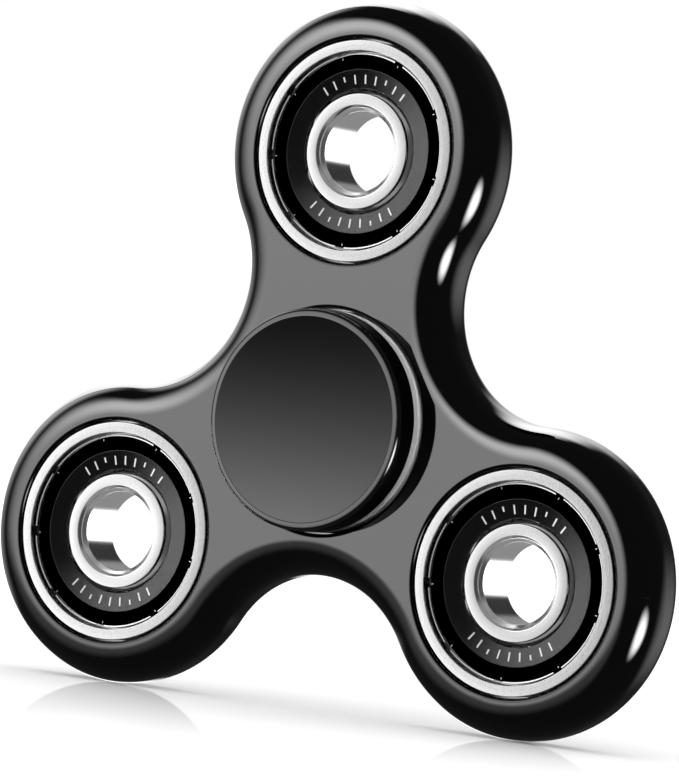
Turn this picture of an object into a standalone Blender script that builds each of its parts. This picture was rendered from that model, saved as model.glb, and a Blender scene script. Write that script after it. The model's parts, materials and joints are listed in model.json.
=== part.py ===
"""Three-lobed fidget spinner: a moulded plastic body round four standard 608 ball bearings.

The centre bearing carries two finger caps on a split stem, and the three bearings in the
lobes are its weights. Metres, +Z up. The spinner stands on its two lower lobes with its
spin axis along Y and its front towards -Y, and the origin is on the ground under the axis.
"""

import math

import bmesh
import bpy
from mathutils import Matrix

# 608 ball bearing, all four alike
BORE_RADIUS = 0.0040
RING_RADIUS = 0.0110
BEARING_WIDTH = 0.0070
RING_CHAMFER = 0.0003
BALL_RADIUS = 0.0019845
BALL_COUNT = 7
RACE_CLEARANCE = 0.0002
RACE_DEPTH = 0.0006
INNER_SHOULDER_WIDTH = 0.0006
INNER_SHOULDER_DROP = 0.0009
OUTER_FACE_WIDTH = 0.0012
SHIELD_RECESS = 0.0002
SHIELD_THICKNESS = 0.0003
SHIELD_RIM_DROP = 0.0004
SHIELD_RIM_WIDTH = 0.0014
SHIELD_GAP = 0.0004
SHIELD_SEAT_GAP = 0.0003
SHIELD_EDGE_CLEARANCE = 0.00015
CAGE_THICKNESS = 0.0008
CAGE_RIM_SHARE = 1 / 3
CAGE_POCKET_CLEARANCE = 0.00015

# Moulded body
BODY_THICKNESS = 0.0074
SEAT_CLEARANCE = 0.00015
WALL_BETWEEN_SEATS = 0.00455
LOBE_WALL = 0.00415
WAIST_WALL = 0.0042
SEAT_CHAMFER = 0.0004
EDGE_ROUND_IN = 0.0036
EDGE_ROUND_ALONG = 0.0032
EDGE_LAND = 0.00015
SIDE_LAND = 0.0003

# Finger caps
CAP_RADIUS = 0.0110
CAP_THICKNESS = 0.0030
CAP_BODY_GAP = 0.0008
CAP_FACE_ROUND = 0.0008
CAP_BACK_CHAMFER = 0.0003
BOSS_WIDTH = 0.0013
BOSS_GAP = 0.00005
STEM_CLEARANCE = 0.0001
STEM_JOINT_GAP = 0.0002
PEG_RADIUS = 0.0020
PEG_LENGTH = 0.0028
PEG_CLEARANCE = 0.0001
PEG_END_GAP = 0.0003

# Fineness of the round shapes
BEARING_SIDES = 24
CAP_SIDES = 32
POCKET_SIDES = 10
RACE_STEPS = 4
ROUND_STEPS = 3
LOBE_STEP = math.radians(10)
WAIST_STEPS = 10
CUT_OVERRUN = 0.001
POCKET_OVERRUN = 0.0002

PITCH_RADIUS = (BORE_RADIUS + RING_RADIUS) / 2
HALF_WIDTH = BEARING_WIDTH / 2
HALF_BODY = BODY_THICKNESS / 2
SEAT_RADIUS = RING_RADIUS + SEAT_CLEARANCE
ARM_RADIUS = 2 * SEAT_RADIUS + WALL_BETWEEN_SEATS
LOBE_RADIUS = SEAT_RADIUS + LOBE_WALL
WAIST_DISTANCE = SEAT_RADIUS + WAIST_WALL
WAIST_RADIUS = (
    WAIST_DISTANCE**2 + ARM_RADIUS**2 - WAIST_DISTANCE * ARM_RADIUS - LOBE_RADIUS**2
) / (ARM_RADIUS + 2 * LOBE_RADIUS - 2 * WAIST_DISTANCE)
ROUND_IN = min(EDGE_ROUND_IN, LOBE_WALL - SEAT_CHAMFER - EDGE_LAND)
ROUND_ALONG = min(EDGE_ROUND_ALONG, HALF_BODY - SIDE_LAND)
HUB_HEIGHT = ARM_RADIUS / 2 + LOBE_RADIUS

INNER_LAND_RADIUS = PITCH_RADIUS - BALL_RADIUS + RACE_DEPTH
OUTER_LAND_RADIUS = PITCH_RADIUS + BALL_RADIUS - RACE_DEPTH
INNER_FACE_RADIUS = INNER_LAND_RADIUS - INNER_SHOULDER_WIDTH
OUTER_FACE_RADIUS = RING_RADIUS - OUTER_FACE_WIDTH
SHIELD_BACK = HALF_WIDTH - SHIELD_RECESS - SHIELD_THICKNESS
CAGE_POCKET_RADIUS = (BALL_RADIUS + CAGE_POCKET_CLEARANCE) / math.cos(math.pi / POCKET_SIDES)

LOBE_ANGLES = {"top": math.radians(90), "left": math.radians(210), "right": math.radians(330)}


def material(name, colour, roughness, metallic):
    made = bpy.data.materials.new(name)
    made.use_nodes = True
    shader = made.node_tree.nodes["Principled BSDF"]
    shader.inputs["Base Color"].default_value = (*colour, 1.0)
    shader.inputs["Roughness"].default_value = roughness
    shader.inputs["Metallic"].default_value = metallic
    made.diffuse_color = (*colour, 1.0)
    return made


def mesh_from(name, bm):
    """Close the bmesh into a mesh with outward normals, smooth on its round stretches."""
    bmesh.ops.recalc_face_normals(bm, faces=bm.faces)
    mesh = bpy.data.meshes.new(name)
    bm.to_mesh(mesh)
    bm.free()
    mesh.shade_smooth()
    mesh.set_sharp_from_angle(angle=math.radians(30))
    return mesh


def turned_mesh(name, profile, sides, ring):
    """Turn (radius, along) points round the Y axis. A ring's profile is a closed loop."""
    bm = bmesh.new()
    loops = []
    for radius, along in profile:
        if radius == 0:
            loops.append([bm.verts.new((0, along, 0))])
            continue
        turns = [2 * math.pi * side / sides for side in range(sides)]
        loops.append([bm.verts.new((radius * math.cos(t), along, radius * math.sin(t))) for t in turns])
    pairs = list(zip(loops, loops[1:]))
    if ring:
        pairs.append((loops[-1], loops[0]))
    for first, second in pairs:
        for side in range(sides):
            after = (side + 1) % sides
            corners = [first[side % len(first)], first[after % len(first)]]
            corners += [second[after % len(second)], second[side % len(second)]]
            bm.faces.new(list(dict.fromkeys(corners)))
    return mesh_from(name, bm)


def linked(name, mesh):
    """A new object in the scene. With no mesh it is an empty."""
    made = bpy.data.objects.new(name, mesh)
    bpy.context.scene.collection.objects.link(made)
    return made


def place(name, mesh, finish, parent=None, location=(0, 0, 0), turn=0.0):
    """Make one named piece. Pieces that share a mesh share its finish."""
    made = linked(name, mesh)
    if not mesh.materials:
        mesh.materials.append(finish)
    made.parent = parent
    made.location = location
    made.rotation_euler = (0, 0, turn)
    return made


def axis_empty(name, location):
    """An empty on a joint's axis, which the pieces that turn there hang from."""
    made = linked(name, None)
    made.location = location
    return made


def cutter_object(name, mesh):
    made = linked(name, mesh)
    made.hide_render = True
    made.display_type = "WIRE"
    return made


def race_arc(outward):
    """The raceway's groove from the front land to the back one, seen in section."""
    radius = BALL_RADIUS + RACE_CLEARANCE
    land = OUTER_LAND_RADIUS if outward > 0 else INNER_LAND_RADIUS
    reach = math.acos(abs(land - PITCH_RADIUS) / radius)
    angles = [-reach + 2 * reach * step / RACE_STEPS for step in range(RACE_STEPS + 1)]
    return [(PITCH_RADIUS + outward * radius * math.cos(a), radius * math.sin(a)) for a in angles]


def outer_ring_mesh():
    shield_seat = SHIELD_BACK - SHIELD_RIM_DROP - SHIELD_SEAT_GAP
    front = [
        (RING_RADIUS, -HALF_WIDTH + RING_CHAMFER),
        (RING_RADIUS - RING_CHAMFER, -HALF_WIDTH),
        (OUTER_FACE_RADIUS, -HALF_WIDTH),
        (OUTER_FACE_RADIUS, -shield_seat),
        (OUTER_LAND_RADIUS, -shield_seat),
    ]
    back = [(radius, -along) for radius, along in reversed(front)]
    return turned_mesh("outer_ring", front + race_arc(1) + back, BEARING_SIDES, ring=True)


def inner_ring_mesh():
    front = [
        (BORE_RADIUS, -HALF_WIDTH + RING_CHAMFER),
        (BORE_RADIUS + RING_CHAMFER, -HALF_WIDTH),
        (INNER_FACE_RADIUS, -HALF_WIDTH),
        (INNER_LAND_RADIUS, -HALF_WIDTH + INNER_SHOULDER_DROP),
    ]
    back = [(radius, -along) for radius, along in reversed(front)]
    return turned_mesh("inner_ring", front + race_arc(-1) + back, BEARING_SIDES, ring=True)


def shield_mesh():
    """A thin dished washer with its flat towards -Y and its slanted rim in the outer ring."""
    outer = OUTER_FACE_RADIUS - SHIELD_EDGE_CLEARANCE
    inner = INNER_FACE_RADIUS + SHIELD_GAP
    face = -HALF_WIDTH + SHIELD_RECESS
    front = [(inner, face), (outer - SHIELD_RIM_WIDTH, face), (outer, face + SHIELD_RIM_DROP)]
    back = [(radius, along + SHIELD_THICKNESS) for radius, along in reversed(front)]
    return turned_mesh("shield", front + back, BEARING_SIDES, ring=True)


def cage_blank_mesh():
    """The cage's band. Its rim beside the pockets takes a share of the room inside the shields."""
    half_height = CAGE_POCKET_RADIUS + CAGE_RIM_SHARE * (SHIELD_BACK - CAGE_POCKET_RADIUS)
    inner = PITCH_RADIUS - CAGE_THICKNESS / 2
    outer = PITCH_RADIUS + CAGE_THICKNESS / 2
    profile = [(inner, -half_height), (outer, -half_height), (outer, half_height), (inner, half_height)]
    return turned_mesh("cage_blank", profile, BEARING_SIDES, ring=True)


def ball_angles():
    return [2 * math.pi * ball / BALL_COUNT for ball in range(BALL_COUNT)]


def cage_mesh():
    """The cage's band with one radial pocket for each ball."""
    blank = linked("cage_blank", cage_blank_mesh())
    band_inside = PITCH_RADIUS - CAGE_THICKNESS / 2
    reach = PITCH_RADIUS - math.sqrt(band_inside**2 - CAGE_POCKET_RADIUS**2) + POCKET_OVERRUN
    bm = bmesh.new()
    for angle in ball_angles():
        made = bmesh.ops.create_cone(
            bm,
            cap_ends=True,
            segments=POCKET_SIDES,
            radius1=CAGE_POCKET_RADIUS,
            radius2=CAGE_POCKET_RADIUS,
            depth=2 * reach,
        )
        outwards = Matrix.Rotation(math.pi / 2 - angle, 4, "Y")
        seat = Matrix.Translation((PITCH_RADIUS * math.cos(angle), 0, PITCH_RADIUS * math.sin(angle)))
        bmesh.ops.transform(bm, matrix=seat @ outwards, verts=made["verts"])
    cutter = cutter_object("cage_pockets", mesh_from("cage_pockets", bm))
    return cut_and_keep(blank, cutter, "cage")


def cut_and_keep(blank, cutter, name):
    """Cut a blank, keep the result as a mesh of its own and remove the two helpers."""
    cut = blank.modifiers.new("cut", "BOOLEAN")
    cut.operation = "DIFFERENCE"
    cut.object = cutter
    bpy.context.view_layer.update()
    result = bpy.data.meshes.new_from_object(blank.evaluated_get(bpy.context.evaluated_depsgraph_get()))
    result.name = name
    result.shade_smooth()
    result.set_sharp_from_angle(angle=math.radians(30))
    result.materials.clear()
    for helper in (blank, cutter):
        bpy.data.objects.remove(helper)
    return result


def ball_mesh():
    bm = bmesh.new()
    bmesh.ops.create_icosphere(bm, subdivisions=2, radius=BALL_RADIUS)
    mesh = mesh_from("ball", bm)
    mesh.shade_smooth()
    return mesh


def arc(centre, radius, angles):
    return [(centre[0] + radius * math.cos(a), centre[1] + radius * math.sin(a)) for a in angles]


def outline(inset):
    """The body's outline in the XZ plane round its spin axis, moved inwards by inset."""
    waist_centre = WAIST_DISTANCE + WAIST_RADIUS
    points = []
    for lobe in LOBE_ANGLES.values():
        centre = (ARM_RADIUS * math.cos(lobe), ARM_RADIUS * math.sin(lobe))
        hollow_angle = lobe + math.radians(60)
        hollow = (waist_centre * math.cos(hollow_angle), waist_centre * math.sin(hollow_angle))
        towards = math.atan2(hollow[1] - centre[1], hollow[0] - centre[0])
        reach = (towards - lobe) % (2 * math.pi)
        steps = math.ceil(reach / LOBE_STEP) - 1
        turns = [-reach] + [LOBE_STEP * step for step in range(-steps, steps + 1)] + [reach]
        points += arc(centre, LOBE_RADIUS - inset, [lobe + turn for turn in turns])
        half = (towards - hollow_angle) % (2 * math.pi)
        turns = [half * (1 - 2 * step / WAIST_STEPS) for step in range(1, WAIST_STEPS)]
        points += arc(hollow, WAIST_RADIUS + inset, [hollow_angle + math.pi + turn for turn in turns])
    return points


def edge_sections():
    """(inset, along) from the front face round the two rounded edges to the back face."""
    turns = [math.pi / 2 * step / ROUND_STEPS for step in range(ROUND_STEPS + 1)]
    front = [(ROUND_IN * (1 - math.sin(t)), -HALF_BODY + ROUND_ALONG * (1 - math.cos(t))) for t in turns]
    return front + [(inset, -along) for inset, along in reversed(front)]


def body_blank_mesh():
    bm = bmesh.new()
    loops = []
    for inset, along in edge_sections():
        loops.append([bm.verts.new((x, along, z)) for x, z in outline(inset)])
    for first, second in zip(loops, loops[1:]):
        for index in range(len(first)):
            after = (index + 1) % len(first)
            bm.faces.new((first[index], first[after], second[after], second[index]))
    bm.faces.new(loops[0])
    bm.faces.new(loops[-1])
    return mesh_from("body_blank", bm)


def seat_cutter_mesh():
    """One bearing seat through the body, with a chamfered mouth on each face."""
    mouth = SEAT_RADIUS + SEAT_CHAMFER + CUT_OVERRUN
    front = [(0, -HALF_BODY - CUT_OVERRUN), (mouth, -HALF_BODY - CUT_OVERRUN)]
    front.append((SEAT_RADIUS, -HALF_BODY + SEAT_CHAMFER))
    back = [(radius, -along) for radius, along in reversed(front)]
    return turned_mesh("seat_cutter", front + back, BEARING_SIDES, ring=False)


def bearing_centres():
    """Centres round the spin axis, in the XZ plane: the hub's first and then each lobe's."""
    centres = {"centre": (0.0, 0.0)}
    for name, angle in LOBE_ANGLES.items():
        centres[name] = (ARM_RADIUS * math.cos(angle), ARM_RADIUS * math.sin(angle))
    return centres


def make_body(plastic):
    body = place("body", body_blank_mesh(), plastic, location=(0, 0, HUB_HEIGHT))
    seat = seat_cutter_mesh()
    for name, (x, z) in bearing_centres().items():
        cutter = cutter_object(f"{name}_seat_cutter", seat)
        cutter.location = (x, 0, HUB_HEIGHT + z)
        cut = body.modifiers.new(f"{name}_seat", "BOOLEAN")
        cut.operation = "DIFFERENCE"
        cut.object = cutter


def cap_profile():
    """The cap's outside from the middle of its face to the root of its stem, front cap."""
    back = -max(HALF_BODY, HALF_WIDTH) - CAP_BODY_GAP
    face = back - CAP_THICKNESS
    rim = CAP_RADIUS - CAP_FACE_ROUND
    turns = [math.pi / 2 * step / ROUND_STEPS for step in range(ROUND_STEPS + 1)]
    rounded = [(rim + CAP_FACE_ROUND * math.sin(t), face + CAP_FACE_ROUND * (1 - math.cos(t))) for t in turns]
    boss = BORE_RADIUS + BOSS_WIDTH
    stem = BORE_RADIUS - STEM_CLEARANCE
    return [
        (0, face),
        *rounded,
        (CAP_RADIUS, back - CAP_BACK_CHAMFER),
        (CAP_RADIUS - CAP_BACK_CHAMFER, back),
        (boss, back),
        (boss, -HALF_WIDTH - BOSS_GAP),
        (stem, -HALF_WIDTH - BOSS_GAP),
        (stem, -STEM_JOINT_GAP / 2),
    ]


def front_cap_mesh():
    end = -STEM_JOINT_GAP / 2
    peg = [(PEG_RADIUS, end), (PEG_RADIUS, end + PEG_LENGTH), (0, end + PEG_LENGTH)]
    return turned_mesh("front_cap", cap_profile() + peg, CAP_SIDES, ring=False)


def rear_cap_mesh():
    outside = [(radius, -along) for radius, along in cap_profile()]
    socket = PEG_RADIUS + PEG_CLEARANCE
    bottom = -STEM_JOINT_GAP / 2 + PEG_LENGTH + PEG_END_GAP
    inside = [(socket, STEM_JOINT_GAP / 2), (socket, bottom), (0, bottom)]
    return turned_mesh("rear_cap", outside + inside, CAP_SIDES, ring=False)


def make_bearing(name, centre, meshes, finishes):
    axis = axis_empty(f"{name}_bearing_axis", (centre[0], 0, HUB_HEIGHT + centre[1]))
    place(f"{name}_outer_ring", meshes["outer_ring"], finishes["ring"], axis)
    place(f"{name}_inner_ring", meshes["inner_ring"], finishes["ring"], axis)
    place(f"{name}_front_shield", meshes["shield"], finishes["shield"], axis)
    place(f"{name}_rear_shield", meshes["shield"], finishes["shield"], axis, turn=math.pi)
    cage = place(f"{name}_cage", meshes["cage"], finishes["cage"], axis)
    for number, angle in enumerate(ball_angles(), start=1):
        spot = (PITCH_RADIUS * math.cos(angle), 0, PITCH_RADIUS * math.sin(angle))
        place(f"{name}_ball_{number}", meshes["ball"], finishes["ball"], cage, spot)


def make_caps(plastic):
    axis = axis_empty("hub_axis", (0, 0, HUB_HEIGHT))
    place("front_cap", front_cap_mesh(), plastic, axis)
    place("rear_cap", rear_cap_mesh(), plastic, axis)


def main():
    for old in list(bpy.data.objects):
        bpy.data.objects.remove(old)
    finishes = {
        "ring": material("polished_bearing_steel", (0.78, 0.78, 0.79), 0.18, 1.0),
        "shield": material("blackened_shield_steel", (0.03, 0.03, 0.032), 0.38, 0.6),
        "cage": material("pressed_cage_steel", (0.55, 0.54, 0.52), 0.35, 1.0),
        "ball": material("ball_chrome_steel", (0.82, 0.82, 0.84), 0.06, 1.0),
    }
    meshes = {
        "outer_ring": outer_ring_mesh(),
        "inner_ring": inner_ring_mesh(),
        "shield": shield_mesh(),
        "cage": cage_mesh(),
        "ball": ball_mesh(),
    }
    make_body(material("glossy_black_body_plastic", (0.006, 0.006, 0.007), 0.12, 0.0))
    for name, centre in bearing_centres().items():
        make_bearing(name, centre, meshes, finishes)
    make_caps(material("glossy_black_cap_plastic", (0.010, 0.010, 0.011), 0.16, 0.0))


main()
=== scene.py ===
"""Looks of the fidget spinner: fine meshes, procedural materials, studio light and camera."""

import json
import math

import bmesh
import bpy
from mathutils import Matrix, Vector

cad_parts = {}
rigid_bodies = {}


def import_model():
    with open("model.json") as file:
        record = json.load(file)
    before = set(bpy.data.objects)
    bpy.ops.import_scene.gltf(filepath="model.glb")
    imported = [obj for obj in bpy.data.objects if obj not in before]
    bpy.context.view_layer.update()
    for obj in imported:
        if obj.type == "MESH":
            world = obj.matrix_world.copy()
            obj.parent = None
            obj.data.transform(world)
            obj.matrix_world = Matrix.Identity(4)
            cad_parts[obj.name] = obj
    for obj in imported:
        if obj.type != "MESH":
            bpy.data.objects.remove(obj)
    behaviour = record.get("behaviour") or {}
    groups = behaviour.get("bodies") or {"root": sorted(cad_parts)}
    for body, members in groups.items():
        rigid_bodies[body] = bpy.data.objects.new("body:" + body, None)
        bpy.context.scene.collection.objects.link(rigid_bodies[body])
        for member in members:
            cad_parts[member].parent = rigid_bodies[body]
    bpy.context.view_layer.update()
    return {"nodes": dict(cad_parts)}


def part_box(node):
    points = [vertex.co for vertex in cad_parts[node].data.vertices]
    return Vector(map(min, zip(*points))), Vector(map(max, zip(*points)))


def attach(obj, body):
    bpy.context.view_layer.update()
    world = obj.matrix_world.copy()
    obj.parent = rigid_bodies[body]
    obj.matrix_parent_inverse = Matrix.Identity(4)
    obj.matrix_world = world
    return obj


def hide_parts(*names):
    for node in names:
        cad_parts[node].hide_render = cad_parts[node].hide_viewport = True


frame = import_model()

SITES = ("centre", "top", "left", "right")
BALL_COUNT = 7
LOBE_DIRECTIONS = (math.radians(90), math.radians(210), math.radians(330))

# Sizes that the frame's boxes don't give, in metres
WAIST_DISTANCE = 0.01535
EDGE_ROUND_IN = 0.0036
EDGE_ROUND_ALONG = 0.0032
SEAT_CLEARANCE = 0.00015
SEAT_ROUND = 0.0004
BORE_RADIUS = 0.0040
BALL_RADIUS = 0.0019845
RACE_CLEARANCE = 0.00012
LAND_DROP = 0.0006
OUTER_FACE_WIDTH = 0.00105
FACE_FALL = 0.00007
CAP_THICKNESS = 0.0030
CAP_DISH = 0.00035
CAP_LIP = 0.0008
CAP_CORNER = 0.0006
BOSS_WIDTH = 0.0013
STEM_CLEARANCE = 0.0001
PEG_RADIUS = 0.0020
SOCKET_RADIUS = 0.0021
SOCKET_DEPTH = 0.0030
SHIELD_THICKNESS = 0.0003
SHIELD_DISH = 0.00026
SHIELD_RIM = 0.0015
SHIELD_BORE_STEP = 0.00075
SHIELD_SEAT = 0.0010
SHIELD_SETBACK = 0.0002

# How far the fine faces stand out from the CAD rings' faces, or lie behind them
RING_PROUD = 0.00015
HUB_RING_PROUD = 0.00035
INNER_SUNK = 0.00045
SHIELD_SUNK = 0.00045

# Crimped rims and marks of the shields: lengths in metres, angles in degrees
CRIMP_RADIUS = 0.00965
CRIMP_COUNT = 9
CRIMP_START = 27
CRIMP_GAP = 2.2
CRIMP_STEP = 2
CRIMP_WIRE = 0.00009
CRIMP_LIFT = 0.00025
TAB_WIRE = 0.00005
TAB_LIFT = 0.00005
TAB_START = 0.0002
TAB_STEP = 0.00007
TAB_POINTS = 4
MARK_COUNT = 9
MARK_PITCH = 9.5
MARK_HALF_WIDTH = 0.00008
MARK_SHORT = 0.0005
MARK_INSIDE_MARGIN = 0.00045
MARK_OUTSIDE_MARGIN = 0.00055
MARK_LEVELS = (0.00005, -0.00003)

# Fineness
TURN_SIDES = 128
BODY_ROUND_STEPS = 20
LOBE_ARC_STEPS = 84
WAIST_ARC_STEPS = 44
SEAT_ROUND_STEPS = 6
RACE_STEPS = 12
DISH_STEPS = 12
ROUND_STEP_DEGREES = 15
BODY_SHARP_DEGREES = 28

# A round takes at most this share of an edge, a cutter reaches this far past its face, and faces are found
# by their place to within this distance
EDGE_SHARE = 0.48
CUT_PAST = 0.001
PLACE_TOLERANCE = 0.00002


# ---------------------------------------------------------------- places read from the frame
def middle(node):
    low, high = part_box(node)
    return (Vector(low) + Vector(high)) / 2


def half_size(node):
    low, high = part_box(node)
    return (Vector(high) - Vector(low)) / 2


CENTRES = {site: middle(f"{site}_inner_ring") for site in SITES}
HUB = CENTRES["centre"]
RING_RADIUS = half_size("top_outer_ring").z
HALF_WIDTH = half_size("top_outer_ring").y
HALF_BODY = half_size("body").y
PITCH_RADIUS = (BORE_RADIUS + RING_RADIUS) / 2
ARM_RADIUS = (CENTRES["top"] - HUB).length
LOBE_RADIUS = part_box("body")[1][2] - CENTRES["top"].z
SEAT_RADIUS = RING_RADIUS + SEAT_CLEARANCE
SEAT_MOUTH = SEAT_RADIUS + SEAT_ROUND
CAP_RADIUS = half_size("front_cap").z
CAP_FACE = -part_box("front_cap")[0][1]
CAP_BACK = CAP_FACE - CAP_THICKNESS
PEG_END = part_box("front_cap")[1][1]
SHIELD_FACE = -HALF_WIDTH + SHIELD_SUNK + SHIELD_SETBACK
SHIELD_INSIDE = PITCH_RADIUS - BALL_RADIUS + SHIELD_BORE_STEP
SHIELD_OUTSIDE = half_size("top_front_shield").z
SHIELD_FLAT_EDGE = SHIELD_OUTSIDE - SHIELD_RIM


# ---------------------------------------------------------------- mesh making
def finished_mesh(name, bm, sharp=30):
    """A smooth-shaded mesh from the bmesh, with edges over the sharp angle in degrees kept crisp."""
    bmesh.ops.recalc_face_normals(bm, faces=bm.faces)
    mesh = bpy.data.meshes.new(name)
    bm.to_mesh(mesh)
    bm.free()
    mesh.shade_smooth()
    mesh.set_sharp_from_angle(angle=math.radians(sharp))
    return mesh


def linked(name, mesh):
    made = bpy.data.objects.new(name, mesh)
    bpy.context.scene.collection.objects.link(made)
    return made


def even_normals(piece):
    """Lets the large flat faces set the shading, so that reflections stay straight on them."""
    weighted = piece.modifiers.new("even_normals", "WEIGHTED_NORMAL")
    weighted.keep_sharp = True
    return piece


def rounded(profile, ring):
    """Profile points (radius, along, round) with each corner turned into an arc of that round."""
    points = []
    count = len(profile)
    for index, (radius, along, bend) in enumerate(profile):
        here = Vector((radius, along))
        if bend <= 0 or (not ring and index in (0, count - 1)):
            points.append((radius, along))
            continue
        before = Vector(profile[index - 1][:2]) - here
        after = Vector(profile[(index + 1) % count][:2]) - here
        between = before.angle(after)
        most = EDGE_SHARE * min(before.length, after.length)
        reach = min(bend / math.tan(between / 2), most)
        bend = reach * math.tan(between / 2)
        start = here + before.normalized() * reach
        end = here + after.normalized() * reach
        middle_way = (before.normalized() + after.normalized()).normalized()
        centre = here + middle_way * (bend / math.sin(between / 2))
        steps = max(2, round(math.degrees(math.pi - between) / ROUND_STEP_DEGREES))
        for step in range(steps + 1):
            way = (start - centre).lerp(end - centre, step / steps).normalized()
            points.append(tuple(centre + way * bend))
    return points


def turned_bmesh(profile, sides=TURN_SIDES, ring=True):
    """Turn (radius, along) points round the Y axis. A ring's profile is a closed loop."""
    bm = bmesh.new()
    loops = []
    for radius, along in profile:
        if radius < 1e-9:
            loops.append([bm.verts.new((0, along, 0))])
            continue
        turns = [2 * math.pi * side / sides for side in range(sides)]
        loops.append([bm.verts.new((radius * math.cos(t), along, radius * math.sin(t))) for t in turns])
    pairs = list(zip(loops, loops[1:]))
    if ring:
        pairs.append((loops[-1], loops[0]))
    for first, second in pairs:
        for side in range(sides):
            after = (side + 1) % sides
            corners = [first[side % len(first)], first[after % len(first)]]
            corners += [second[after % len(second)], second[side % len(second)]]
            bm.faces.new(list(dict.fromkeys(corners)))
    return bm


def quarter_turn(steps):
    """Angles from 0 to a right angle, in radians."""
    return [math.pi / 2 * step / steps for step in range(steps + 1)]


def both_faces(front):
    """A profile's front half of (radius, along) points, followed by the rear half."""
    return front + [(radius, -along) for radius, along in reversed(front)]


def mirrored(front):
    """The rear half of a profile with rounds, in the order that carries on from the front half."""
    return [(radius, -along, bend) for radius, along, bend in reversed(front)]


def paint_outside(mesh, radius):
    """Gives the faces farther out than this radius from the Y axis the mesh's second material."""
    for face in mesh.polygons:
        if math.hypot(face.center.x, face.center.z) > radius:
            face.material_index = 1


# ---------------------------------------------------------------- the body's mesh
def arc(centre, radius, angles):
    return [(centre[0] + radius * math.cos(a), centre[1] + radius * math.sin(a)) for a in angles]


def outline(inset):
    """The body's outline in the XZ plane round its spin axis, moved inwards by inset."""
    waist_radius = (
        WAIST_DISTANCE**2 + ARM_RADIUS**2 - WAIST_DISTANCE * ARM_RADIUS - LOBE_RADIUS**2
    ) / (ARM_RADIUS + 2 * LOBE_RADIUS - 2 * WAIST_DISTANCE)
    points = []
    for lobe in LOBE_DIRECTIONS:
        centre = (ARM_RADIUS * math.cos(lobe), ARM_RADIUS * math.sin(lobe))
        hollow_angle = lobe + math.radians(60)
        reach_out = WAIST_DISTANCE + waist_radius
        hollow = (reach_out * math.cos(hollow_angle), reach_out * math.sin(hollow_angle))
        towards = math.atan2(hollow[1] - centre[1], hollow[0] - centre[0])
        reach = (towards - lobe) % (2 * math.pi)
        turns = [reach * (2 * step / LOBE_ARC_STEPS - 1) for step in range(LOBE_ARC_STEPS + 1)]
        points += arc(centre, LOBE_RADIUS - inset, [lobe + turn for turn in turns])
        half = (towards - hollow_angle) % (2 * math.pi)
        turns = [half * (1 - 2 * step / WAIST_ARC_STEPS) for step in range(1, WAIST_ARC_STEPS)]
        points += arc(hollow, waist_radius + inset, [hollow_angle + math.pi + turn for turn in turns])
    return points


def body_blank_mesh():
    """The moulded body with its rounded edges, still without its seats."""
    front = []
    for t in quarter_turn(BODY_ROUND_STEPS):
        along = -HALF_BODY + EDGE_ROUND_ALONG * (1 - math.cos(t))
        front.append((EDGE_ROUND_IN * (1 - math.sin(t)), along))
    bm = bmesh.new()
    loops = []
    for inset, along in both_faces(front):
        loops.append([bm.verts.new((x, along, z)) for x, z in outline(inset)])
    for first, second in zip(loops, loops[1:]):
        for index in range(len(first)):
            after = (index + 1) % len(first)
            bm.faces.new((first[index], first[after], second[after], second[index]))
    bm.faces.new(loops[0])
    bm.faces.new(loops[-1])
    return finished_mesh("body_blank", bm)


def seat_cutter_mesh():
    """A bearing's seat through the body, with a rounded mouth at each face."""
    profile = [(0, -HALF_BODY - CUT_PAST), (SEAT_MOUTH, -HALF_BODY - CUT_PAST)]
    for t in quarter_turn(SEAT_ROUND_STEPS):
        along = HALF_BODY - SEAT_ROUND * (1 - math.cos(t))
        profile.append((SEAT_MOUTH - SEAT_ROUND * math.sin(t), -along))
    return finished_mesh("cutter", turned_bmesh(both_faces(profile), ring=False))


def paint_seats(mesh):
    """Gives the seats and their mouths the mesh's second material, a duller, darker black that is painted
    shade.
    """
    places = [(CENTRES[site] - HUB).xz for site in SITES]
    reach = SEAT_MOUTH + PLACE_TOLERANCE
    for face in mesh.polygons:
        corners = [mesh.vertices[index].co.xz for index in face.vertices]
        if any(all((corner - place).length < reach for corner in corners) for place in places):
            face.material_index = 1


def body_mesh():
    """The moulded body with its four bearing seats cut out."""
    blank = linked("body_blank", body_blank_mesh())
    helpers = [blank]
    for site in SITES:
        cutter = linked(f"{site}_cutter", seat_cutter_mesh())
        cutter.location = CENTRES[site] - HUB
        cut = blank.modifiers.new(site, "BOOLEAN")
        cut.operation = "DIFFERENCE"
        cut.object = cutter
        helpers.append(cutter)
    bpy.context.view_layer.update()
    made = bpy.data.meshes.new_from_object(blank.evaluated_get(bpy.context.evaluated_depsgraph_get()))
    made.name = "body_shell"
    made.materials.clear()
    made.materials.append(BODY_PLASTIC)
    # the seats and their mouths get a duller, darker copy of the body's black: painted shade in the seat
    # mouths
    made.materials.append(SEAT_PAINTED_SHADE)
    paint_seats(made)
    made.shade_smooth()
    made.set_sharp_from_angle(angle=math.radians(BODY_SHARP_DEGREES))
    for helper in helpers:
        bpy.data.objects.remove(helper)
    return made


# ---------------------------------------------------------------- bearing meshes
# Profile rows are (radius, along, round of that corner).
def race(outward):
    """The groove for the balls: outward 1 in the outer ring, -1 in the inner ring."""
    radius = BALL_RADIUS + RACE_CLEARANCE
    land = PITCH_RADIUS + outward * (BALL_RADIUS - LAND_DROP)
    reach = math.acos(abs(land - PITCH_RADIUS) / radius)
    angles = [reach * (2 * step / RACE_STEPS - 1) for step in range(RACE_STEPS + 1)]
    return [(PITCH_RADIUS + outward * radius * math.cos(a), radius * math.sin(a), 0) for a in angles]


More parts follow.
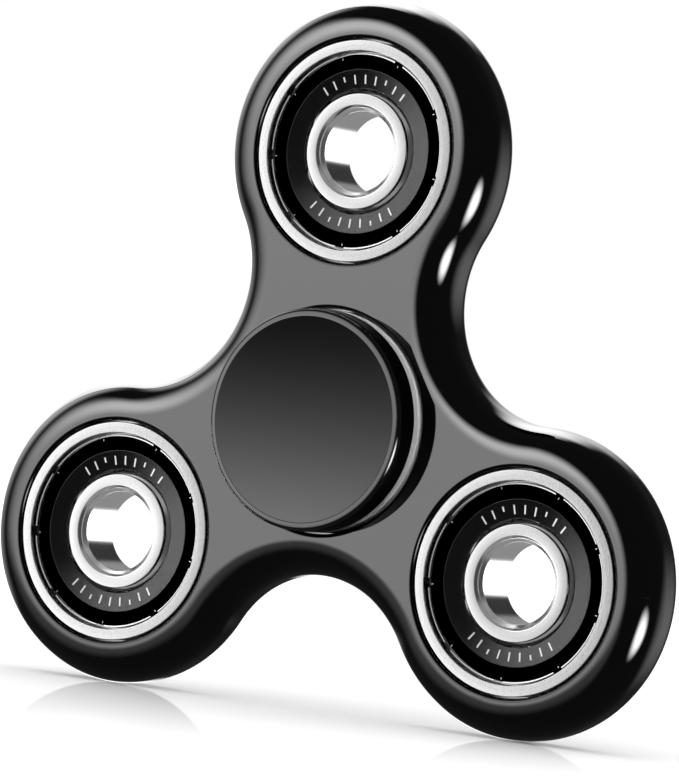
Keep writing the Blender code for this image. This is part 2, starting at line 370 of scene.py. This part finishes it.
def outer_ring_mesh(proud):
    """An outer ring whose faces stand proud of the CAD ring's."""
    face = RING_RADIUS - OUTER_FACE_WIDTH
    land = PITCH_RADIUS + BALL_RADIUS - LAND_DROP
    front_y = -HALF_WIDTH - proud
    step_y = -HALF_WIDTH + SHIELD_SUNK + SHIELD_SEAT
    front = [
        (RING_RADIUS, front_y + FACE_FALL, 0.00012),
        (face, front_y, 0.00008),
        (face, step_y, 0.00005),
        (land, step_y, 0.00005),
    ]
    profile = front + race(1) + mirrored(front)
    return finished_mesh("outer_ring_fine", turned_bmesh(rounded(profile, True)))


def inner_ring_mesh():
    """An inner ring with a stepped bore mouth and a shoulder for the shield."""
    land = PITCH_RADIUS - BALL_RADIUS + LAND_DROP
    front_y = -HALF_WIDTH + INNER_SUNK
    front = [
        (BORE_RADIUS, front_y + 0.00065, 0.0002),
        (BORE_RADIUS + 0.00035, front_y + 0.0004, 0.00005),
        (BORE_RADIUS + 0.0004, front_y + 0.0003, 0.00005),
        (BORE_RADIUS + 0.00065, front_y, 0.00012),
        (land - 0.0004, front_y + 0.00002, 0.00008),
        (land - 0.0004, front_y + 0.0005, 0.00005),
        (land, front_y + 0.0008, 0.00008),
    ]
    profile = front + race(-1) + mirrored(front)
    return finished_mesh("inner_ring_fine", turned_bmesh(rounded(profile, True)))


def cap_outside(side):
    """Profile of the front (side -1) or rear (side 1) cap, from its dished face to its stem's end."""
    lip = CAP_RADIUS - CAP_LIP
    dish = [(lip - 0.0001) * step / DISH_STEPS for step in range(DISH_STEPS + 1)]
    dish += [lip - 0.00005, lip]
    profile = [(radius, CAP_FACE - CAP_DISH * (1 - (radius / lip) ** 2), 0) for radius in dish]
    boss = BORE_RADIUS + BOSS_WIDTH
    stem = BORE_RADIUS - STEM_CLEARANCE
    boss_end = HALF_WIDTH + 0.00005
    profile += [
        (lip + 0.00003, CAP_FACE - 0.000006, 0),
        (CAP_RADIUS - 0.0003, CAP_FACE - 0.00011, CAP_CORNER),
        (CAP_RADIUS, CAP_FACE - 0.0005, CAP_CORNER),
        (CAP_RADIUS, CAP_BACK, 0.0003),
        (boss, CAP_BACK, 0.0002),
        (boss, boss_end, 0.0001),
        (stem, boss_end, 0.0001),
        (stem, 0.0001, 0.0002),
    ]
    return [(radius, side * along, bend) for radius, along, bend in profile]


def cap_mesh(name, profile):
    """A cap from its whole profile, with the rim's wall in a duller, darker copy of its black, which is
    painted shade.
    """
    mesh = finished_mesh(name, turned_bmesh(rounded(profile, False), ring=False))
    mesh.materials.append(CAP_PLASTIC)
    mesh.materials.append(CAP_SIDE_PAINTED_SHADE)
    paint_outside(mesh, CAP_RADIUS - 2 * PLACE_TOLERANCE)
    return mesh


def front_cap_mesh():
    """The front cap, whose stem ends in a peg."""
    peg = [(PEG_RADIUS, -0.0001, 0.0001), (PEG_RADIUS, PEG_END, 0.0003), (0, PEG_END, 0)]
    return cap_mesh("front_cap_fine", cap_outside(-1) + peg)


def rear_cap_mesh():
    """The rear cap, whose stem holds the socket for the peg."""
    socket = [(SOCKET_RADIUS, 0.0001, 0.0001), (SOCKET_RADIUS, SOCKET_DEPTH, 0), (0, SOCKET_DEPTH, 0)]
    return cap_mesh("rear_cap_fine", cap_outside(1) + socket)


def shield_mesh():
    """A pressed shield: a slightly hollow flat zone, then a slope down to the crimped rim in a flat,
    unreflecting black that is painted shade.
    """
    hollow = SHIELD_FACE + SHIELD_DISH
    profile = [
        (SHIELD_INSIDE, hollow, 0.00008),
        (SHIELD_FLAT_EDGE, SHIELD_FACE, 0.00006),
        (SHIELD_FLAT_EDGE + 0.00006, SHIELD_FACE + 0.00008, 0.00003),
        (SHIELD_OUTSIDE - 0.0003, SHIELD_FACE + 0.0002, 0.0001),
        (SHIELD_OUTSIDE, SHIELD_FACE + 0.0002, 0.00005),
        (SHIELD_OUTSIDE, SHIELD_FACE + 0.0007, 0.00005),
        (SHIELD_FLAT_EDGE, hollow + SHIELD_THICKNESS, 0.0001),
        (SHIELD_INSIDE, hollow + SHIELD_THICKNESS, 0.00008),
    ]
    mesh = finished_mesh("shield_fine", turned_bmesh(rounded(profile, True)))
    mesh.materials.append(SHIELD_STEEL)
    # the slope gets the unreflecting black: painted shade
    mesh.materials.append(SHIELD_SLOPE_PAINTED_SHADE)
    paint_outside(mesh, SHIELD_FLAT_EDGE + PLACE_TOLERANCE)
    return mesh


def tube(bm, points, radius, sides=8):
    """A closed round wire along these points, added to the bmesh."""
    loops = []
    for index, point in enumerate(points):
        before, after = points[max(index - 1, 0)], points[min(index + 1, len(points) - 1)]
        along = (after - before).normalized()
        side = along.cross(Vector((0, 1, 0))).normalized()
        up = side.cross(along)
        turns = [2 * math.pi * k / sides for k in range(sides)]
        loops.append([bm.verts.new(point + radius * (math.cos(t) * side + math.sin(t) * up)) for t in turns])
    for first, second in zip(loops, loops[1:]):
        for k in range(sides):
            bm.faces.new((first[k], first[(k + 1) % sides], second[(k + 1) % sides], second[k]))
    bm.faces.new(loops[0])
    bm.faces.new(loops[-1])


def round_point(radius, along, degrees):
    turn = math.radians(degrees)
    return Vector((radius * math.cos(turn), along, radius * math.sin(turn)))


def crimp_mesh():
    """The bright crimped rim of a shield: a thin bead in arcs, with a small tab in each gap."""
    bm = bmesh.new()
    pitch = 360 / CRIMP_COUNT
    count = int((pitch - 2 * CRIMP_GAP) / CRIMP_STEP) + 1
    for number in range(CRIMP_COUNT):
        start = CRIMP_START + number * pitch
        turns = [start + CRIMP_GAP + step * CRIMP_STEP for step in range(count)]
        tube(bm, [round_point(CRIMP_RADIUS, SHIELD_FACE - CRIMP_LIFT, turn) for turn in turns], CRIMP_WIRE)
        steps = [CRIMP_RADIUS - TAB_START - TAB_STEP * step for step in range(TAB_POINTS)]
        tube(bm, [round_point(radius, SHIELD_FACE - TAB_LIFT, start) for radius in steps], TAB_WIRE)
    return finished_mesh("crimp_fine", bm)


def add_bar(bm, angle, start, end):
    """A thin straight bar from one radius to another, lying in the hollow face of the shield."""
    out = Vector((math.cos(angle), 0, math.sin(angle)))
    side = Vector((-math.sin(angle), 0, math.cos(angle))) * MARK_HALF_WIDTH
    corners = []
    for radius in (start, end):
        fall = (SHIELD_FLAT_EDGE - radius) / (SHIELD_FLAT_EDGE - SHIELD_INSIDE)
        level = SHIELD_FACE + SHIELD_DISH * fall
        for lift in MARK_LEVELS:
            for way in (-1, 1):
                corners.append(bm.verts.new(out * radius + side * way + Vector((0, level + lift, 0))))
    a, b, c, d, e, f, g, h = corners
    for loop in ((a, b, d, c), (e, f, h, g), (a, b, f, e), (c, d, h, g), (a, c, g, e), (b, d, h, f)):
        bm.faces.new(loop)


def marks_mesh():
    """Plain upright bars in two arcs on the shield's flat zone, every fourth one short."""
    bm = bmesh.new()
    low, high = SHIELD_INSIDE + MARK_INSIDE_MARGIN, SHIELD_FLAT_EDGE - MARK_OUTSIDE_MARGIN
    for middle_angle in (90, 270):
        for number in range(MARK_COUNT):
            angle = math.radians(middle_angle + (number - MARK_COUNT // 2) * MARK_PITCH)
            add_bar(bm, angle, high - MARK_SHORT if number % 4 == 2 else low, high)
    return finished_mesh("marks_fine", bm)


def ball_mesh():
    bm = bmesh.new()
    bmesh.ops.create_icosphere(bm, subdivisions=4, radius=BALL_RADIUS)
    return finished_mesh("ball_fine", bm, 180)


# ---------------------------------------------------------------- materials
class Nodes:
    """A short way to build one material's node tree."""

    def __init__(self, name):
        self.material = bpy.data.materials.new(name)
        self.material.use_nodes = True
        self.tree = self.material.node_tree
        self.shader = self.tree.nodes["Principled BSDF"]

    def add(self, kind, inputs=(), **settings):
        """A new node. An input is either a value or the socket that feeds it."""
        node = self.tree.nodes.new(kind)
        for key, value in settings.items():
            setattr(node, key, value)
        for key, value in dict(inputs).items():
            if hasattr(value, "links"):
                self.tree.links.new(value, node.inputs[key])
            else:
                node.inputs[key].default_value = value
        return node

    def spread(self, value, source, target):
        """The value carried over from the source range to the target range."""
        ends = {"From Min": source[0], "From Max": source[1], "To Min": target[0], "To Max": target[1]}
        return self.add("ShaderNodeMapRange", {"Value": value, **ends}).outputs["Result"]

    def noise(self, vector, scale, detail):
        settings = {"Vector": vector, "Scale": scale, "Detail": detail}
        return self.add("ShaderNodeTexNoise", settings).outputs["Fac"]

    def grey_of(self, value):
        settings = {key: value for key in ("Red", "Green", "Blue")}
        return self.add("ShaderNodeCombineColor", settings).outputs["Color"]

    def bump(self, height, strength, distance):
        settings = {"Height": height, "Strength": strength, "Distance": distance}
        return self.add("ShaderNodeBump", settings).outputs["Normal"]

    def set(self, **values):
        """Sets or links inputs of the main shader."""
        for key, value in values.items():
            socket = self.shader.inputs[key.replace("_", " ")]
            if hasattr(value, "links"):
                self.tree.links.new(value, socket)
            else:
                socket.default_value = value


def grey(value):
    return (value, value, value, 1)


def gloss_plastic(name, tone, rough, wear):
    """Black moulded plastic under a clear gloss, with cloudy smears and hairline scratches."""
    n = Nodes(name)
    at = n.add("ShaderNodeTexCoord").outputs["Object"]
    cloud = n.noise(at, 90.0, 4.0)
    fine = n.noise(at, 2600.0, 2.0)
    drawn = {"Vector": at, "Rotation": (0.0, 0.7, 0.0), "Scale": (60.0, 60.0, 2600.0)}
    streak = n.noise(n.add("ShaderNodeMapping", drawn).outputs[0], 1.0, 3.0)
    scratch = n.spread(streak, (0.68, 0.74), (0.0, 1.0))
    smear = n.spread(cloud, (0.35, 0.7), (rough * 0.7, rough * 1.4))
    worn = n.add("ShaderNodeMath", {0: scratch, 1: wear, 2: smear}, operation="MULTIPLY_ADD").outputs[0]
    colour = n.grey_of(n.spread(cloud, (0.0, 1.0), (tone * 0.8, tone * 1.2)))
    n.set(Base_Color=colour, Roughness=worn, Normal=n.bump(fine, 0.02, 0.00002), IOR=1.5)
    n.set(Coat_Weight=1.0, Coat_Roughness=0.02, Coat_IOR=1.6)
    return n.material


def steel(name, tone, rough, grain, metal=1.0):
    """Turned steel: fine rings round its axis, a brushed grain and uneven polish."""
    n = Nodes(name)
    at = n.add("ShaderNodeTexCoord").outputs["Object"]
    parts = n.add("ShaderNodeSeparateXYZ", {0: at}).outputs
    flat = n.add("ShaderNodeCombineXYZ", {"X": parts["X"], "Y": parts["Z"]}).outputs[0]
    radius = n.add("ShaderNodeVectorMath", {0: flat}, operation="LENGTH").outputs["Value"]
    ringed = n.add("ShaderNodeCombineXYZ", {"X": radius, "Y": parts["Y"]}).outputs[0]
    rings = n.noise(ringed, 9000.0, 3.0)
    brushed = n.add("ShaderNodeMapping", {"Vector": at, "Scale": (9000.0, 9000.0, 1400.0)}).outputs[0]
    lines = n.noise(brushed, 1.0, 3.0)
    both = n.add("ShaderNodeMath", {0: rings, 1: lines}, operation="ADD").outputs[0]
    polish = n.spread(both, (0.7, 1.3), (rough * 0.8, rough * 1.2))
    colour = n.grey_of(n.spread(both, (0.6, 1.4), (tone * (1 - grain), tone * (1 + grain))))
    n.set(Base_Color=colour, Metallic=metal, Roughness=polish, Normal=n.bump(both, 0.03, 0.00001))
    return n.material


def blackened(name, tone, rough, gloss):
    """Dull black film on sheet steel, also used darker and duller as painted shade on steel and plastic, with
    faint mottling and specks.
    """
    n = Nodes(name)
    at = n.add("ShaderNodeTexCoord").outputs["Object"]
    mottle = n.noise(at, 700.0, 6.0)
    cells = n.add("ShaderNodeTexVoronoi", {"Vector": at, "Scale": 1500.0}).outputs["Distance"]
    speck = n.spread(cells, (0.10, 0.04), (0.0, 1.0))
    film = n.spread(mottle, (0.3, 0.7), (tone * 0.7, tone * 1.3))
    tint = n.add("ShaderNodeMath", {0: speck, 1: tone * 2, 2: film}, operation="MULTIPLY_ADD").outputs[0]
    polish = n.spread(mottle, (0.3, 0.7), (rough * 0.85, rough * 1.15))
    n.set(Base_Color=n.grey_of(tint), Roughness=polish, Specular_IOR_Level=gloss)
    n.set(Normal=n.bump(mottle, 0.04, 0.00001))
    return n.material


BODY_PLASTIC = gloss_plastic("body_gloss", 0.006, 0.05, 0.10)
CAP_PLASTIC = gloss_plastic("cap_gloss", 0.006, 0.06, 0.10)
RING_STEEL = steel("ring_satin_steel", 0.70, 0.30, 0.08)
INNER_STEEL = steel("inner_polished_steel", 0.80, 0.14, 0.03)
HUB_RING_STEEL = steel("hub_ring_steel", 0.55, 0.6, 0.08, metal=0.0)
SHIELD_STEEL = blackened("shield_flat_black", 0.010, 0.13, 0.55)
# painted shade: a much darker, unreflecting copy of the shield's black for the slope to the rim
SHIELD_SLOPE_PAINTED_SHADE = blackened("shield_slope_painted_shade", 0.001, 0.6, 0.0)
# painted shade: a duller, darker copy of the body's black for the seats and their mouths
SEAT_PAINTED_SHADE = blackened("seat_painted_shade_black", 0.004, 0.12, 0.4)
# painted shade: a duller, darker copy of the cap's black on the rim's wall, which also darkens its reflection
# in the body
CAP_SIDE_PAINTED_SHADE = blackened("cap_side_painted_shade", 0.004, 0.35, 0.12)
CRIMP_STEEL = steel("crimp_bright_steel", 0.75, 0.2, 0.05)
MARK_GREY = steel("mark_etched_grey", 0.75, 0.4, 0.1)
BALL_STEEL = steel("ball_mirror_steel", 0.80, 0.05, 0.02)
CAGE_STEEL = steel("cage_pressed_steel", 0.5, 0.35, 0.1)


# ---------------------------------------------------------------- the pieces
def stand_in(name, mesh, nodes, rides_on, material, at):
    """A fine piece in the place of CAD nodes, riding on their body."""
    piece = linked(name, mesh)
    piece.location = at
    if not mesh.materials:
        mesh.materials.append(material)
    if nodes:
        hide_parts(*nodes)
    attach(piece, rides_on)
    return piece


def build_shield(site, side, turn, meshes):
    """One shield with its crimped rim and its bars. The rear ones are turned round."""
    place = f"{site}_{side}"
    rows = (
        (f"{place}_shield_fine", "shield", [f"{place}_shield"], SHIELD_STEEL),
        (f"{place}_crimp", "crimp", [], CRIMP_STEEL),
        (f"{place}_marks", "marks", [], MARK_GREY),
    )
    pieces = []
    for name, kind, nodes, material in rows:
        piece = stand_in(name, meshes[kind], nodes, "frame", material, CENTRES[site])
        piece.rotation_euler = (0, 0, turn)
        pieces.append(piece)
    even_normals(pieces[0])


def build_bearing(site, meshes):
    """The rings, shields, balls and cage at one of the four centres."""
    in_hub = site == "centre"
    rows = (
        ("outer_ring", "hub_outer" if in_hub else "outer", "frame", HUB_RING_STEEL if in_hub else RING_STEEL),
        ("inner_ring", "inner", "hub" if in_hub else f"{site}_inner", INNER_STEEL),
    )
    for ring, kind, rides_on, material in rows:
        node = f"{site}_{ring}"
        made = stand_in(f"{node}_fine", meshes[kind], [node], rides_on, material, CENTRES[site])
        even_normals(made)
    for side, turn in (("front", 0), ("rear", math.pi)):
        build_shield(site, side, turn, meshes)
    for number in range(1, BALL_COUNT + 1):
        node = f"{site}_ball_{number}"
        rides_on = f"{site}_rolling_set"
        stand_in(f"{node}_fine", meshes["ball"], [node], rides_on, BALL_STEEL, middle(node))
    frame["nodes"][f"{site}_cage"].material_slots[0].material = CAGE_STEEL


def build_object():
    shells = (
        ("body", body_mesh(), "frame", "body_plastic", BODY_PLASTIC),
        ("front_cap", front_cap_mesh(), "hub", "cap_plastic", CAP_PLASTIC),
        ("rear_cap", rear_cap_mesh(), "hub", "cap_plastic", CAP_PLASTIC),
    )
    for node, mesh, rides_on, slot, material in shells:
        even_normals(stand_in(f"{node}_shell", mesh, [node], rides_on, material, HUB))
    meshes = {
        "outer": outer_ring_mesh(RING_PROUD),
        "hub_outer": outer_ring_mesh(HUB_RING_PROUD),
        "inner": inner_ring_mesh(),
        "shield": shield_mesh(),
        "ball": ball_mesh(),
        "crimp": crimp_mesh(),
        "marks": marks_mesh(),
    }
    for site in SITES:
        build_bearing(site, meshes)


# ---------------------------------------------------------------- camera
CAMERA_AZIMUTH = math.radians(31.12)
CAMERA_ELEVATION = math.radians(0.27)
CAMERA_ROLL = math.radians(6.27)
CAMERA_DISTANCE = 0.5608
CAMERA_LENS = 260.0
SENSOR_WIDTH = 36
NEAREST = 0.01
FARTHEST = 50
AIM_OFFSET = Vector((-0.00071, 0, 0.00311))


def make_camera():
    """A long lens, slightly rolled, to the right of the object and level with it."""
    data = bpy.data.cameras.new("camera")
    data.lens = CAMERA_LENS
    data.sensor_width = SENSOR_WIDTH
    data.clip_start = NEAREST
    data.clip_end = FARTHEST
    camera = linked("camera", data)
    a, e, roll = CAMERA_AZIMUTH, CAMERA_ELEVATION, CAMERA_ROLL
    back = Vector((math.sin(a) * math.cos(e), -math.cos(a) * math.cos(e), math.sin(e)))
    level = Vector((math.cos(a), math.sin(a), 0))
    up = back.cross(level)
    right = math.cos(roll) * level + math.sin(roll) * up
    top = -math.sin(roll) * level + math.cos(roll) * up
    turn = Matrix((right, top, back)).transposed().to_4x4()
    camera.matrix_world = Matrix.Translation(HUB + AIM_OFFSET + back * CAMERA_DISTANCE) @ turn
    bpy.context.scene.camera = camera


# ---------------------------------------------------------------- studio light
# Each group of surfaces sits in its own light tent: a large, unseen sphere whose glow depends on the
# direction alone. Azimuth is 0 at the front (-Y) and grows towards +X. Angles are in degrees. Tents differ
# in radius, so that no two lie in the same place.
TENT_RADIUS = {
    "body_tent": 3.0,
    "front_cap_tent": 3.1,
    "rear_cap_tent": 3.2,
    "front_shield_tent": 3.3,
    "rear_shield_tent": 3.4,
    "steel_tent": 3.6,
    "hub_ring_tent": 3.8,
    "floor_tent": 4.0,
}
# The direction in which the front's flat faces mirror the camera, and the middle of the strong box behind
MIRROR_AZIMUTH = -31
BACK_BOX_AZIMUTH = -118


class Tent(Nodes):
    """A light tent in the making: light() adds to its glow, and make() hangs it round the object."""

    def __init__(self, name):
        super().__init__(name)
        self.tree.nodes.remove(self.shader)
        at = self.add("ShaderNodeTexCoord").outputs["Object"]
        way = self.add("ShaderNodeVectorMath", {0: at}, operation="NORMALIZE").outputs[0]
        parts = self.add("ShaderNodeSeparateXYZ", {0: way}).outputs
        azimuth = self.maths("ARCTAN2", parts["X"], self.maths("MULTIPLY", parts["Y"], -1))
        self.azimuth = self.maths("DEGREES", azimuth)
        self.elevation = self.maths("DEGREES", self.maths("ARCSINE", parts["Z"]))
        self.glow = []

    def maths(self, operation, *values):
        return self.add("ShaderNodeMath", dict(enumerate(values)), operation=operation).outputs[0]

    def ramp(self, value, dark, bright, low=0.0, high=1.0):
        """Smooth rise from low at dark to high at bright."""
        ends = {"Value": value, "From Min": dark, "From Max": bright, "To Min": low, "To Max": high}
        return self.add("ShaderNodeMapRange", ends, interpolation_type="SMOOTHSTEP").outputs["Result"]

    def times(self, *values):
        product = values[0]
        for value in values[1:]:
            product = self.maths("MULTIPLY", product, value)
        return product

    def off(self, azimuth):
        """How far a direction is from this azimuth, from -180 to 180."""
        return self.maths("WRAP", self.maths("SUBTRACT", self.azimuth, azimuth), 180, -180)

    def distance(self, azimuth, elevation, wide=1.0, high=1.0):
        """Elliptical distance from a direction, 1 at the ellipse's edge."""
        across = self.maths("DIVIDE", self.off(azimuth), wide)
        along = self.maths("DIVIDE", self.maths("SUBTRACT", self.elevation, elevation), high)
        squares = self.maths("ADD", self.times(across, across), self.times(along, along))
        return self.maths("SQRT", squares)

    def light(self, level, *factors):
        """Adds a light of this level, shaped by the factors."""
        self.glow.append(self.times(level, *factors))

    def make(self, receivers, diffuse=False, turn=0.0):
        """Hangs the tent. Only its receivers see it: mirrored, and with diffuse set also as soft light."""
        total = self.glow[0]
        for part in self.glow[1:]:
            total = self.maths("ADD", total, part)
        glow = self.add("ShaderNodeEmission", {"Strength": total}).outputs[0]
        through = self.add("ShaderNodeBsdfTransparent").outputs[0]
        both = self.add("ShaderNodeAddShader", {0: glow, 1: through}).outputs[0]
        self.tree.links.new(both, self.tree.nodes["Material Output"].inputs["Surface"])
        bm = bmesh.new()
        bmesh.ops.create_icosphere(bm, subdivisions=4, radius=TENT_RADIUS[self.material.name])
        tent = linked(self.material.name, finished_mesh(self.material.name, bm, 180))
        tent.location = HUB
        tent.rotation_euler = (0, 0, turn)
        tent.data.materials.append(self.material)
        tent.visible_camera = False
        tent.visible_diffuse = diffuse
        tent.visible_transmission = False
        tent.visible_volume_scatter = False
        tent.visible_shadow = False
        lit = bpy.data.collections.new(f"lit_by_{self.material.name}")
        for obj in receivers:
            lit.objects.link(obj)
        tent.light_linking.receiver_collection = lit
        self.material.cycles.emission_sampling = "FRONT_BACK" if diffuse else "NONE"


def small_lamp(tent, level):
    """The small bright lamp low on the right, whose glints run along the right-hand edges."""
    tent.light(level, tent.ramp(tent.distance(59.5, -20.5, 17, 13), 1.25, 0.35))


def body_tent(receivers):
    """The boxes that the body mirrors. The seam is the slanting border of the two boxes on the left."""
    t = Tent("body_tent")
    t.light(0.035)
    small_lamp(t, 12)
    # large soft box in front on the left, with a rounded right-hand end, and a dim one below it
    from_front = t.off(-36)
    right = t.maths("MAXIMUM", t.maths("DIVIDE", from_front, 35), 0)
    top = t.maths("MAXIMUM", t.maths("DIVIDE", t.maths("SUBTRACT", t.elevation, 6), 36), 0)
    far = t.maths("SQRT", t.maths("ADD", t.times(right, right), t.times(top, top)))
    rise = t.ramp(t.elevation, -2, 20, 0.42, 1.0)
    t.light(4.6, t.ramp(far, 1.0, 0.5), t.ramp(from_front, -46, 2), t.ramp(t.elevation, -12.5, -2), rise)
    wide = t.times(t.ramp(t.azimuth, -75, -45), t.ramp(t.azimuth, 2, -10))
    t.light(0.3, wide, t.ramp(t.elevation, -34, -13), t.ramp(t.elevation, -6, -12))
    # paler box on the left
    seam = t.maths("ADD", t.azimuth, t.times(t.elevation, -0.3))
    rise = t.ramp(t.elevation, -5, 32, 0.25, 1.0)
    wide = t.times(t.ramp(seam, -117, -114), t.ramp(t.azimuth, -76, -104))
    t.light(1.6, wide, t.ramp(t.elevation, -22, -12), t.ramp(t.elevation, 58, 42), rise)
    # strong box high at the back on the left, and a strip under it
    back = t.off(BACK_BOX_AZIMUTH)
    rise = t.ramp(t.elevation, 8, 58, 0.24, 1.0)
    wide = t.times(t.ramp(back, -62, -20), t.ramp(seam, -117, -120))
    t.light(4.7, wide, t.ramp(t.elevation, -12, 0), t.ramp(t.elevation, 79, 62), rise)
    wide = t.times(t.ramp(back, -36, -28), t.ramp(seam, -116, -119))
    t.light(1.6, wide, t.ramp(t.elevation, -29, -22), t.ramp(t.elevation, 5, -8))
    # soft fill behind on the right
    t.light(0.5, t.ramp(t.distance(140, -12, 40, 34), 1.0, 0.2))
    t.make(receivers)


def cap_tent(name, receivers, turn):
    """A box whose light fades downwards on the cap's dished face, a halo for its lip, and a back light."""
    t = Tent(name)
    t.light(0.05)
    small_lamp(t, 10)
    rise = t.ramp(t.elevation, -10, 10)
    away = t.distance(MIRROR_AZIMUTH, 0)
    t.light(2.4, rise, rise, t.ramp(away, 24, 15))
    t.light(1.7, t.ramp(away, 16, 23), t.ramp(away, 62, 30))
    back = t.off(BACK_BOX_AZIMUTH)
    t.light(1.5, t.ramp(back, -82, -28), t.ramp(back, 30, 0), t.ramp(t.elevation, 0, 45))
    t.make(receivers, turn=turn)


def shield_tent(name, receivers, turn):
    """A slanting gradient across the shields: dark on one side, grey on the other."""
    t = Tent(name)
    t.light(0.12)
    across = t.maths("DIVIDE", t.off(MIRROR_AZIMUTH), -13)
    along = t.maths("DIVIDE", t.elevation, 17)
    slope = t.ramp(t.maths("ADD", across, along), -0.6, 1.15)
    high = t.times(t.ramp(t.elevation, 60, 30), t.ramp(t.elevation, -60, -30))
    t.light(2.5, slope, t.ramp(t.azimuth, -100, -60), high)
    t.make(receivers, turn=turn)


def steel_tent(receivers):
    """A wide front light for the rings, and a bright card behind for their bores."""
    t = Tent("steel_tent")
    t.light(0.30, t.ramp(t.distance(62, 0, 45, 50), 0.6, 1.0, 0.25, 1.0))
    side = t.off(0)
    front = t.times(t.ramp(side, -150, -110), t.ramp(t.elevation, -60, -20), t.ramp(t.elevation, 75, 40))
    t.light(1.35, t.ramp(side, -8, -54), front)
    high = t.times(t.ramp(t.elevation, -50, -15), t.ramp(t.elevation, 60, 20))
    t.light(0.30, t.ramp(side, -30, 10), t.ramp(side, 50, 20), high)
    t.light(0.45, t.ramp(t.maths("ABSOLUTE", t.elevation), 8, 22), front, t.ramp(side, 10, -15))
    # bright card behind on the right, seen in the bores
    card = t.off(152)
    high = t.times(t.ramp(t.elevation, -34, -22), t.ramp(t.elevation, 21, 14))
    t.light(2.4, t.ramp(card, 14, 7), t.ramp(card, -60, -30), high)
    # black edge above the card, which takes away from the base light
    edge = t.off(166)
    high = t.times(t.ramp(t.elevation, 16, 22), t.ramp(t.elevation, 50, 38))
    t.light(-0.26, t.ramp(edge, -20, -12), t.ramp(edge, 32, 18), high)
    t.make(receivers)


def hub_ring_tent(receivers):
    """A soft box high on the right, for the hub's ring, which looks out from under the cap's rim."""
    t = Tent("hub_ring_tent")
    t.light(0.04)
    t.light(12.0, t.ramp(t.distance(48, 30, 20, 14), 1.3, 0.7))
    t.make(receivers, diffuse=True)


def floor_tent(receivers):
    """Even light for the floor, a little more from above."""
    t = Tent("floor_tent")
    t.light(1.0)
    t.light(0.95, t.ramp(t.elevation, 35, 60))
    t.make(receivers, diffuse=True)


# ---------------------------------------------------------------- floor and background
FLOOR_HALF_SIZE = 2.5
MIRROR_SHARE = 0.42
MIRROR_FADE_START = 0.012
MIRROR_FADE_END = 0.09


def make_floor():
    """A white floor that mirrors the object faintly, and only close to it."""
    bm = bmesh.new()
    bmesh.ops.create_grid(bm, x_segments=2, y_segments=2, size=FLOOR_HALF_SIZE)
    floor = linked("floor", finished_mesh("floor", bm))
    n = Nodes("floor_white")
    at = n.add("ShaderNodeTexCoord").outputs["Object"]
    reach = n.add("ShaderNodeVectorMath", {0: at}, operation="LENGTH").outputs["Value"]
    share = n.spread(reach, (MIRROR_FADE_START, MIRROR_FADE_END), (MIRROR_SHARE, 0.0))
    shine = n.add("ShaderNodeBsdfGlossy", {"Roughness": 0.04}).outputs[0]
    n.set(Base_Color=grey(0.9), Roughness=0.9, Specular_IOR_Level=0.0)
    mixed = n.add("ShaderNodeMixShader", {0: share, 1: n.shader.outputs[0], 2: shine}).outputs[0]
    n.tree.links.new(mixed, n.tree.nodes["Material Output"].inputs["Surface"])
    floor.data.materials.append(n.material)
    floor.visible_glossy = False
    floor.visible_diffuse = False
    floor_tent([floor])


def make_world():
    """White behind everything that the camera sees, and no light of its own."""
    world = bpy.data.worlds.new("studio")
    bpy.context.scene.world = world
    world.use_nodes = True
    tree = world.node_tree
    seen = tree.nodes.new("ShaderNodeLightPath").outputs["Is Camera Ray"]
    tree.nodes["Background"].inputs["Color"].default_value = grey(1)
    tree.links.new(seen, tree.nodes["Background"].inputs["Strength"])


# ---------------------------------------------------------------- all together
def light_object():
    """Shares the pieces out among the tents. The rear's tents are the front's, turned round."""
    groups = {"body": [], "front_cap": [], "rear_cap": [], "front_shield": [], "rear_shield": [], "steel": []}
    for obj in list(bpy.context.scene.objects):
        if obj.type == "MESH" and not obj.hide_render:
            found = [name for name in groups if name in obj.name]
            groups[found[0] if found else "steel"].append(obj)
    hub_ring = bpy.data.objects["centre_outer_ring_fine"]
    groups["steel"].remove(hub_ring)
    body_tent(groups["body"])
    for side, turn in (("front", 0), ("rear", math.pi)):
        cap_tent(f"{side}_cap_tent", groups[f"{side}_cap"], turn)
        shield_tent(f"{side}_shield_tent", groups[f"{side}_shield"], turn)
    steel_tent(groups["steel"])
    hub_ring_tent([hub_ring])


make_camera()
build_object()
light_object()
make_floor()
make_world()
bpy.context.scene.view_settings.view_transform = "Standard"
